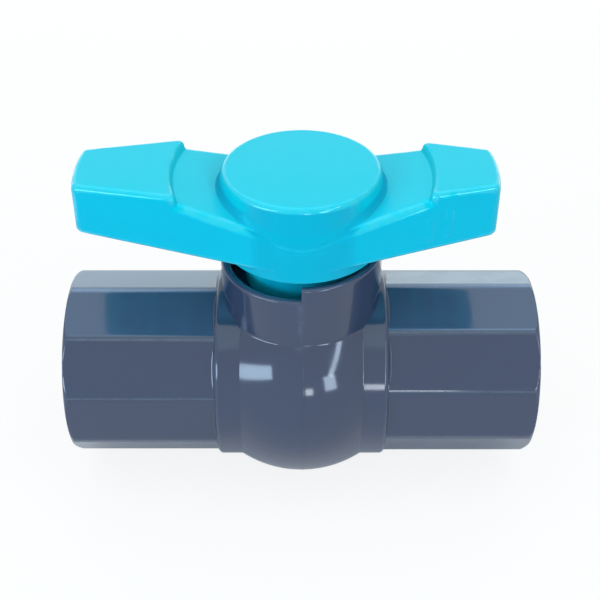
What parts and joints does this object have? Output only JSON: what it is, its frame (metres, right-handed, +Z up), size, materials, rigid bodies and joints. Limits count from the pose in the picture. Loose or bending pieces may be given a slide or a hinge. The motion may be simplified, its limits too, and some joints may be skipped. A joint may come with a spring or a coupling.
{
  "type": "compact ball valve",
  "caption": "Compact two-port plastic ball valve with faceted solvent-cement sockets, a round housing and a quarter-turn T-handle that stops open and closed.",
  "frame": {"origin": "centre of the ball, where the pipe axis and the stem axis cross", "axes": "+X along the pipe towards the short arm of the handle, +Z up the stem, and the picture looks along +Y from above"},
  "size_m": [0.076, 0.0374, 0.0567],
  "materials": {
    "body_grey": "glossy moulded PVC",
    "handle_cyan": "satin-gloss moulded ABS",
    "ball_white": "polished moulded plastic",
    "seat_white": "waxy low-friction plastic",
    "carrier_grey": "plain moulded plastic",
    "seal_rubber": "smooth moulded rubber",
    "stem_grey": "plain moulded plastic"
  },
  "bodies": {
    "valve_body": {"body": "body_grey", "seat_left": "seat_white", "seat_right": "seat_white", "seat_carrier_left": "carrier_grey", "seat_carrier_right": "carrier_grey", "seat_backing_ring_left": "seal_rubber", "seat_backing_ring_right": "seal_rubber", "carrier_seal_left": "seal_rubber", "carrier_seal_right": "seal_rubber", "stem_thrust_washer": "seat_white"},
    "operator": {"handle": "handle_cyan", "stem": "stem_grey", "stem_seal_lower": "seal_rubber", "stem_seal_upper": "seal_rubber", "ball": "ball_white"}
  },
  "joints": [
    {"name": "handle_turn", "type": "hinge", "parent": "valve_body", "child": "operator", "pos_m": [0, 0, 0], "axis": [0, 0, 1], "range_deg": [0, 90]}
  ]
}
